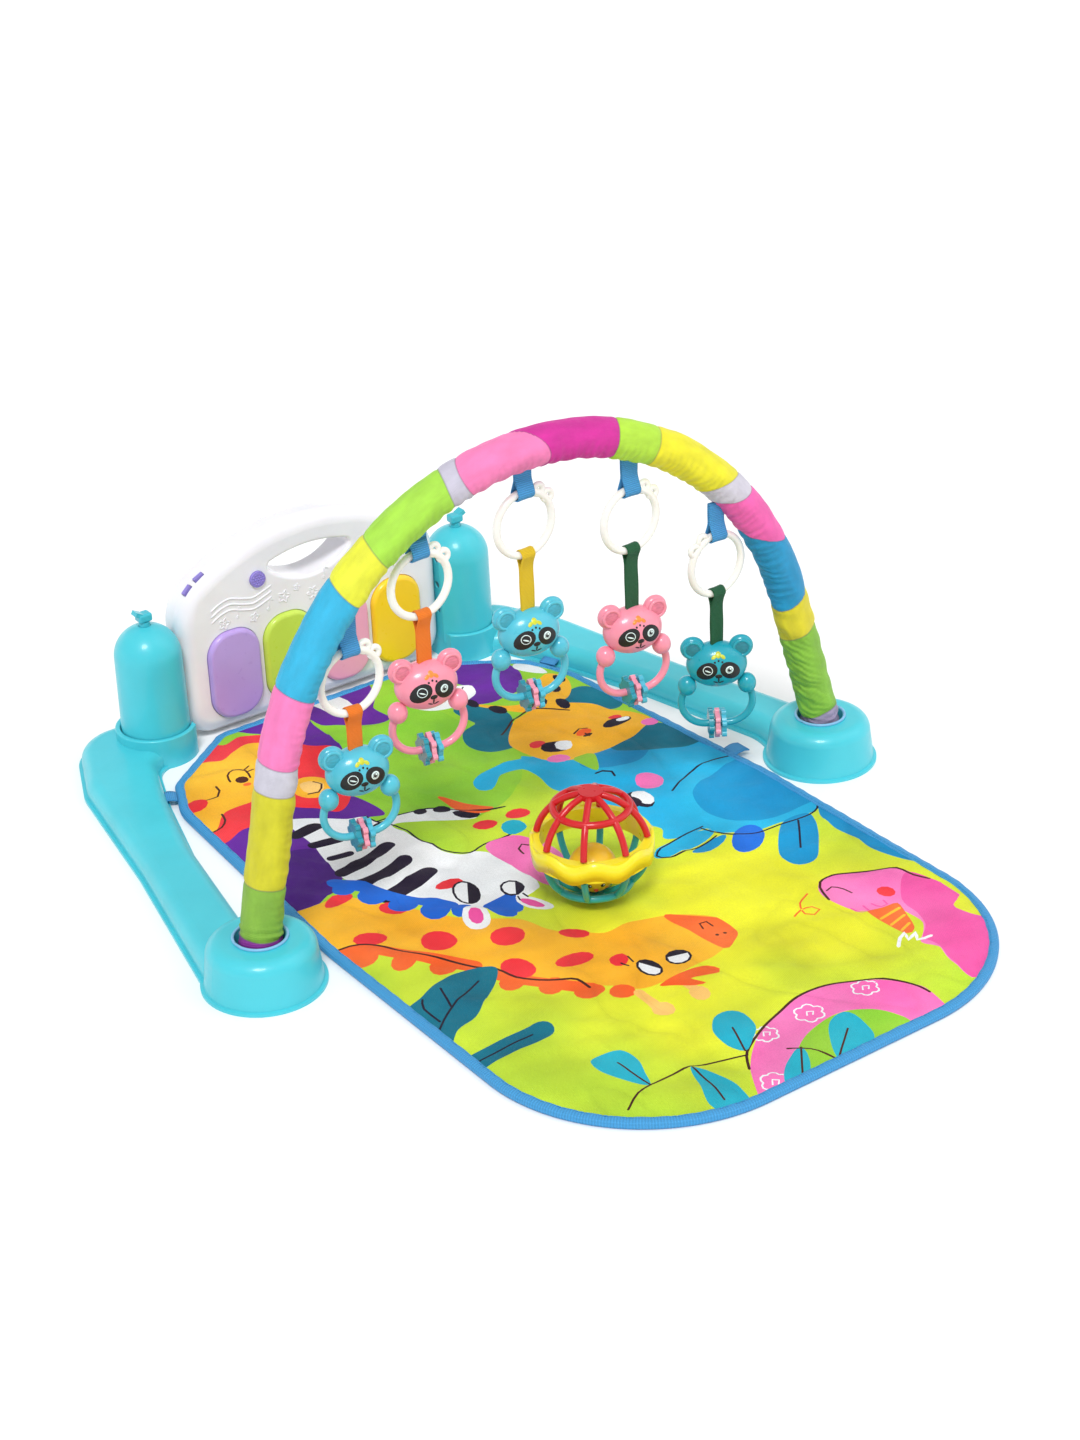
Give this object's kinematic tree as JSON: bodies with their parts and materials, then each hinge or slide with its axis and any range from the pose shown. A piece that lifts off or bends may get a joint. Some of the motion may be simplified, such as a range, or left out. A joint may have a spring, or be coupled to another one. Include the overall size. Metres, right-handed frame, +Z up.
{
  "type": "baby activity play gym",
  "caption": "Floor play gym for a baby: two joined floor arms, a padded arch with hanging rattles, a kick piano, a padded mat and a lattice ball.",
  "frame": {"origin": "on the floor, in the middle of the whole gym's footprint", "axes": "+Z up, +Y from the open end of the mat towards the piano, +X towards the right-hand foot as seen from the open end"},
  "size_m": [0.67, 0.796, 0.3799],
  "materials": {
    "aqua_shell": "satin moulded plastic",
    "aqua_latch": "satin moulded plastic",
    "steel_screw": "cross-head screws",
    "tube": "extruded tube",
    "sleeve_fabric": "brushed polyester sleeve in sewn colour blocks",
    "blue_webbing": "ribbed webbing",
    "mat_fabric": "printed padded polyester",
    "white_shell": "gloss moulded plastic",
    "key_lavender": "gloss moulded plastic",
    "key_lime": "gloss moulded plastic",
    "key_pink": "gloss moulded plastic",
    "key_yellow": "gloss moulded plastic",
    "purple_button": "gloss moulded plastic",
    "contact_rubber": "moulded silicone",
    "board": "lacquered circuit board",
    "speaker": "pressed steel basket",
    "cell": "wrapped steel can",
    "link_ivory": "gloss moulded plastic",
    "ribbon_orange": "woven ribbon",
    "ribbon_mustard": "woven ribbon",
    "ribbon_green": "woven ribbon",
    "rattle_aqua": "gloss moulded plastic",
    "rattle_pink": "gloss moulded plastic",
    "rattle_teal": "gloss moulded plastic",
    "disc_teal": "gloss moulded plastic",
    "ball_red": "flexible moulded lattice",
    "ball_yellow": "gloss moulded plastic",
    "ball_teal": "flexible moulded lattice",
    "chick": "gloss moulded plastic"
  },
  "bodies": {
    "base": {"base_arm_left": "aqua_shell", "base_arm_right": "aqua_shell", "tower_outer_left": "aqua_shell", "tower_outer_right": "aqua_shell", "tower_cover_left": "aqua_shell", "tower_cover_right": "aqua_shell", "tower_screws": "steel_screw", "mat": "mat_fabric", "mat_tabs": "blue_webbing"},
    "latch_left": {"tower_latch_left": "aqua_latch"},
    "latch_right": {"tower_latch_right": "aqua_latch"},
    "arch": {"arch_tube_left": "tube", "arch_tube_middle": "tube", "arch_tube_right": "tube", "arch_sleeve": "sleeve_fabric", "arch_loops": "blue_webbing"},
    "piano": {"piano_front_shell": "white_shell", "piano_rear_shell": "white_shell", "piano_screws": "steel_screw", "circuit_board": "board", "key_contact_mat": "contact_rubber", "speaker": "speaker", "batteries": "cell"},
    "battery_door": {"battery_door": "white_shell"},
    "play_button": {"play_button": "purple_button"},
    "volume_down_button": {"volume_down_button": "purple_button"},
    "volume_up_button": {"volume_up_button": "purple_button"},
    "ball": {"ball_upper_cage": "ball_red", "ball_lower_cage": "ball_teal", "ball_band": "ball_yellow"},
    "ball_chick": {"ball_chick": "chick"},
    "piano_key_1": {"piano_key_1": "key_lavender"},
    "piano_key_2": {"piano_key_2": "key_lime"},
    "piano_key_3": {"piano_key_3": "key_pink"},
    "piano_key_4": {"piano_key_4": "key_yellow"},
    "link_1": {"link_ring_1": "link_ivory"},
    "rattle_1": {"ribbon_1": "ribbon_orange", "rattle_face_1": "rattle_aqua", "rattle_back_1": "rattle_aqua"},
    "discs_1": {"rattle_discs_1": "disc_teal"},
    "link_2": {"link_ring_2": "link_ivory"},
    "rattle_2": {"ribbon_2": "ribbon_orange", "rattle_face_2": "rattle_pink", "rattle_back_2": "rattle_pink"},
    "discs_2": {"rattle_discs_2": "disc_teal"},
    "link_3": {"link_ring_3": "link_ivory"},
    "rattle_3": {"ribbon_3": "ribbon_mustard", "rattle_face_3": "rattle_aqua", "rattle_back_3": "rattle_aqua"},
    "discs_3": {"rattle_discs_3": "disc_teal"},
    "link_4": {"link_ring_4": "link_ivory"},
    "rattle_4": {"ribbon_4": "ribbon_green", "rattle_face_4": "rattle_pink", "rattle_back_4": "rattle_pink"},
    "discs_4": {"rattle_discs_4": "disc_teal"},
    "link_5": {"link_ring_5": "link_ivory"},
    "rattle_5": {"ribbon_5": "ribbon_green", "rattle_face_5": "rattle_teal", "rattle_back_5": "rattle_teal"},
    "discs_5": {"rattle_discs_5": "disc_teal"}
  },
  "joints": [
    {"name": "arch_lift", "type": "slide", "parent": "base", "child": "arch", "axis": [0, 0.0698, 0.9976], "range_m": [0, 0.12]},
    {"name": "piano_lift", "type": "slide", "parent": "base", "child": "piano", "axis": [0, 0, 1], "range_m": [0, 0.12]},
    {"name": "ball_lift", "type": "slide", "parent": "base", "child": "ball", "axis": [0, 0, 1], "range_m": [0, 0.15]},
    {"name": "chick_rattle", "type": "slide", "parent": "ball", "child": "ball_chick", "axis": [0, 0, 1], "range_m": [0, 0.02]},
    {"name": "latch_left_press", "type": "slide", "parent": "base", "child": "latch_left", "axis": [0, 0, -1], "range_m": [0, 0.003], "stiffness_N_per_m": 300, "springref_m": -0.001},
    {"name": "latch_right_press", "type": "slide", "parent": "base", "child": "latch_right", "axis": [0, 0, -1], "range_m": [0, 0.003], "stiffness_N_per_m": 300, "springref_m": -0.001},
    {"name": "key_1_press", "type": "slide", "parent": "piano", "child": "piano_key_1", "axis": [0, 1, 0], "range_m": [0, 0.0035], "stiffness_N_per_m": 250, "springref_m": -0.001},
    {"name": "key_2_press", "type": "slide", "parent": "piano", "child": "piano_key_2", "axis": [0, 1, 0], "range_m": [0, 0.0035], "stiffness_N_per_m": 250, "springref_m": -0.001},
    {"name": "key_3_press", "type": "slide", "parent": "piano", "child": "piano_key_3", "axis": [0, 1, 0], "range_m": [0, 0.0035], "stiffness_N_per_m": 250, "springref_m": -0.001},
    {"name": "key_4_press", "type": "slide", "parent": "piano", "child": "piano_key_4", "axis": [0, 1, 0], "range_m": [0, 0.0035], "stiffness_N_per_m": 250, "springref_m": -0.001},
    {"name": "play_button_press", "type": "slide", "parent": "piano", "child": "play_button", "axis": [0, 1, 0], "range_m": [0, 0.002], "stiffness_N_per_m": 300, "springref_m": -0.001},
    {"name": "volume_down_button_press", "type": "slide", "parent": "piano", "child": "volume_down_button", "axis": [0.6947, 0, -0.7193], "range_m": [0, 0.001], "stiffness_N_per_m": 300, "springref_m": -0.001},
    {"name": "volume_up_button_press", "type": "slide", "parent": "piano", "child": "volume_up_button", "axis": [0.4384, 0, -0.8988], "range_m": [0, 0.001], "stiffness_N_per_m": 300, "springref_m": -0.001},
    {"name": "battery_door_off", "type": "slide", "parent": "piano", "child": "battery_door", "axis": [0, 1, 0], "range_m": [0, 0.03]},
    {"name": "link_1_swing", "type": "hinge", "parent": "arch", "child": "link_1", "pos_m": [-0.177, -0.0126, 0.24653], "axis": [1, 0, 0], "range_deg": [-35, 35]},
    {"name": "rattle_1_swing", "type": "hinge", "parent": "link_1", "child": "rattle_1", "pos_m": [-0.177, -0.0126, 0.19353], "axis": [1, 0, 0], "range_deg": [-30, 30]},
    {"name": "discs_1_spin", "type": "hinge", "parent": "rattle_1", "child": "discs_1", "pos_m": [-0.177, -0.0126, 0.08503], "axis": [0.9781, -0.2079, 0], "continuous": true},
    {"name": "link_2_swing", "type": "hinge", "parent": "arch", "child": "link_2", "pos_m": [-0.107, -0.00939, 0.30591], "axis": [1, 0, 0], "range_deg": [-35, 35]},
    {"name": "rattle_2_swing", "type": "hinge", "parent": "link_2", "child": "rattle_2", "pos_m": [-0.107, -0.00939, 0.25291], "axis": [1, 0, 0], "range_deg": [-30, 30]},
    {"name": "discs_2_spin", "type": "hinge", "parent": "rattle_2", "child": "discs_2", "pos_m": [-0.107, -0.00939, 0.13641], "axis": [0.9781, -0.2079, 0], "continuous": true},
    {"name": "link_3_swing", "type": "hinge", "parent": "arch", "child": "link_3", "pos_m": [-0.006, -0.0078, 0.32728], "axis": [1, 0, 0], "range_deg": [-35, 35]},
    {"name": "rattle_3_swing", "type": "hinge", "parent": "link_3", "child": "rattle_3", "pos_m": [-0.006, -0.0078, 0.27428], "axis": [1, 0, 0], "range_deg": [-30, 30]},
    {"name": "discs_3_spin", "type": "hinge", "parent": "rattle_3", "child": "discs_3", "pos_m": [-0.006, -0.0078, 0.14978], "axis": [0.9781, -0.2079, 0], "continuous": true},
    {"name": "link_4_swing", "type": "hinge", "parent": "arch", "child": "link_4", "pos_m": [0.097, -0.0091, 0.30146], "axis": [1, 0, 0], "range_deg": [-35, 35]},
    {"name": "rattle_4_swing", "type": "hinge", "parent": "link_4", "child": "rattle_4", "pos_m": [0.097, -0.0091, 0.24846], "axis": [1, 0, 0], "range_deg": [-30, 30]},
    {"name": "discs_4_spin", "type": "hinge", "parent": "rattle_4", "child": "discs_4", "pos_m": [0.097, -0.0091, 0.11996], "axis": [0.9781, -0.2079, 0], "continuous": true},
    {"name": "link_5_swing", "type": "hinge", "parent": "arch", "child": "link_5", "pos_m": [0.183, -0.01299, 0.23816], "axis": [1, 0, 0], "range_deg": [-35, 35]},
    {"name": "rattle_5_swing", "type": "hinge", "parent": "link_5", "child": "rattle_5", "pos_m": [0.183, -0.01299, 0.18516], "axis": [1, 0, 0], "range_deg": [-30, 30]},
    {"name": "discs_5_spin", "type": "hinge", "parent": "rattle_5", "child": "discs_5", "pos_m": [0.183, -0.01299, 0.06166], "axis": [0.8387, -0.5446, 0], "continuous": true}
  ]
}
